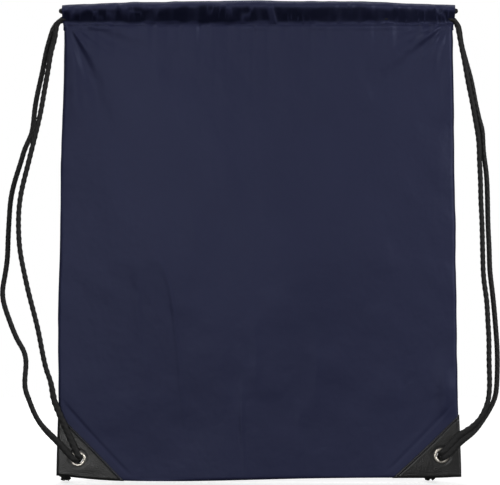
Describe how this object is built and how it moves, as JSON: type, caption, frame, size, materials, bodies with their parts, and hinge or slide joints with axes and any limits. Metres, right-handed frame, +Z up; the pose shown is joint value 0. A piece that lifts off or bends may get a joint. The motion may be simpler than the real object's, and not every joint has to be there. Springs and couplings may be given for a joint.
{
  "type": "drawstring backpack",
  "caption": "Flat drawstring backpack: cloth bag with corded mouth hem, leatherette corner patches, metal eyelets and braided cord shoulder loops.",
  "frame": {"origin": "middle of the bag's bottom edge, on the plane where the front and back cloth meet", "axes": "+X across the bag to the viewer's right, +Y from front to back, +Z up from the bottom edge to the mouth"},
  "size_m": [0.4327, 0.032, 0.4159],
  "materials": {
    "navy_polyester": "plain tight weave with a soft sheen",
    "corner_leatherette": "fine grained black coated leatherette",
    "eyelet_nickel": "bright nickel plate",
    "washer_nickel": "bright nickel plate",
    "braided_cord": "round braid"
  },
  "bodies": {
    "bag": {"back_casing": "navy_polyester", "back_panel": "navy_polyester", "bottom_seam": "navy_polyester", "front_casing": "navy_polyester", "front_panel": "navy_polyester", "left_back_patch": "corner_leatherette", "left_cord_back_run": "braided_cord", "left_cord_front_run": "braided_cord", "left_eyelet": "eyelet_nickel", "left_front_patch": "corner_leatherette", "left_washer": "washer_nickel", "right_back_patch": "corner_leatherette", "right_cord_back_run": "braided_cord", "right_cord_front_run": "braided_cord", "right_eyelet": "eyelet_nickel", "right_front_patch": "corner_leatherette", "right_washer": "washer_nickel"},
    "left_side": {"left_cord_leads": "braided_cord", "left_cord_stubs": "braided_cord", "left_side_seam": "navy_polyester", "right_cord_turn": "braided_cord"},
    "right_side": {"left_cord_turn": "braided_cord", "right_cord_leads": "braided_cord", "right_cord_stubs": "braided_cord", "right_side_seam": "navy_polyester"},
    "left_strap": {"left_strand_low_ends": "braided_cord", "left_strand_top_ends": "braided_cord"},
    "right_strap": {"right_strand_low_ends": "braided_cord", "right_strand_top_ends": "braided_cord"},
    "left_loop": {"left_back_strand": "braided_cord", "left_front_strand": "braided_cord"},
    "right_loop": {"right_back_strand": "braided_cord", "right_front_strand": "braided_cord"},
    "left_knot": {"left_knot": "braided_cord"},
    "right_knot": {"right_knot": "braided_cord"}
  },
  "joints": [
    {"name": "mouth_cinch_left", "type": "hinge", "parent": "bag", "child": "left_side", "pos_m": [-0.1562, 0, 0.0198], "axis": [0, 1, 0], "range_deg": [0, 16], "stiffness_Nm_per_rad": 0.2, "deforming": ["front_panel", "back_panel", "front_casing", "back_casing", "left_cord_front_run", "left_cord_back_run", "right_cord_front_run", "right_cord_back_run"]},
    {"name": "mouth_cinch_right", "type": "hinge", "parent": "bag", "child": "right_side", "pos_m": [0.1585, 0, 0.0224], "axis": [0, -1, 0], "range_deg": [0, 16], "stiffness_Nm_per_rad": 0.2},
    {"name": "left_strap_swing", "type": "hinge", "parent": "left_side", "child": "left_strap", "pos_m": [-0.1768, -0.00495, 0.054], "axis": [0.0006, 0.0147, 0.9999], "range_deg": [-90, 90]},
    {"name": "left_strap_payout", "type": "slide", "parent": "left_strap", "child": "left_loop", "axis": [-1, 0, 0], "range_m": [0, 0.12]},
    {"name": "right_strap_swing", "type": "hinge", "parent": "right_side", "child": "right_strap", "pos_m": [0.1785, -0.00495, 0.04], "axis": [0.0111, -0.0141, -0.9998], "range_deg": [-90, 90]},
    {"name": "right_strap_payout", "type": "slide", "parent": "right_strap", "child": "right_loop", "axis": [1, 0, 0], "range_m": [0, 0.12]},
    {"name": "left_knot_swing", "type": "hinge", "parent": "bag", "child": "left_knot", "pos_m": [-0.1562, 0.00601, 0.0198], "axis": [1, 0, 0], "range_deg": [0, 80]},
    {"name": "right_knot_swing", "type": "hinge", "parent": "bag", "child": "right_knot", "pos_m": [0.1585, 0.00601, 0.0224], "axis": [1, 0, 0], "range_deg": [0, 80]}
  ],
  "couplings": [
    {"joint": "mouth_cinch_right", "follows": "mouth_cinch_left", "ratio": 1},
    {"joint": "left_strap_payout", "follows": "mouth_cinch_left", "m_per_rad": 0.4295},
    {"joint": "right_strap_payout", "follows": "mouth_cinch_left", "m_per_rad": 0.4295}
  ]
}
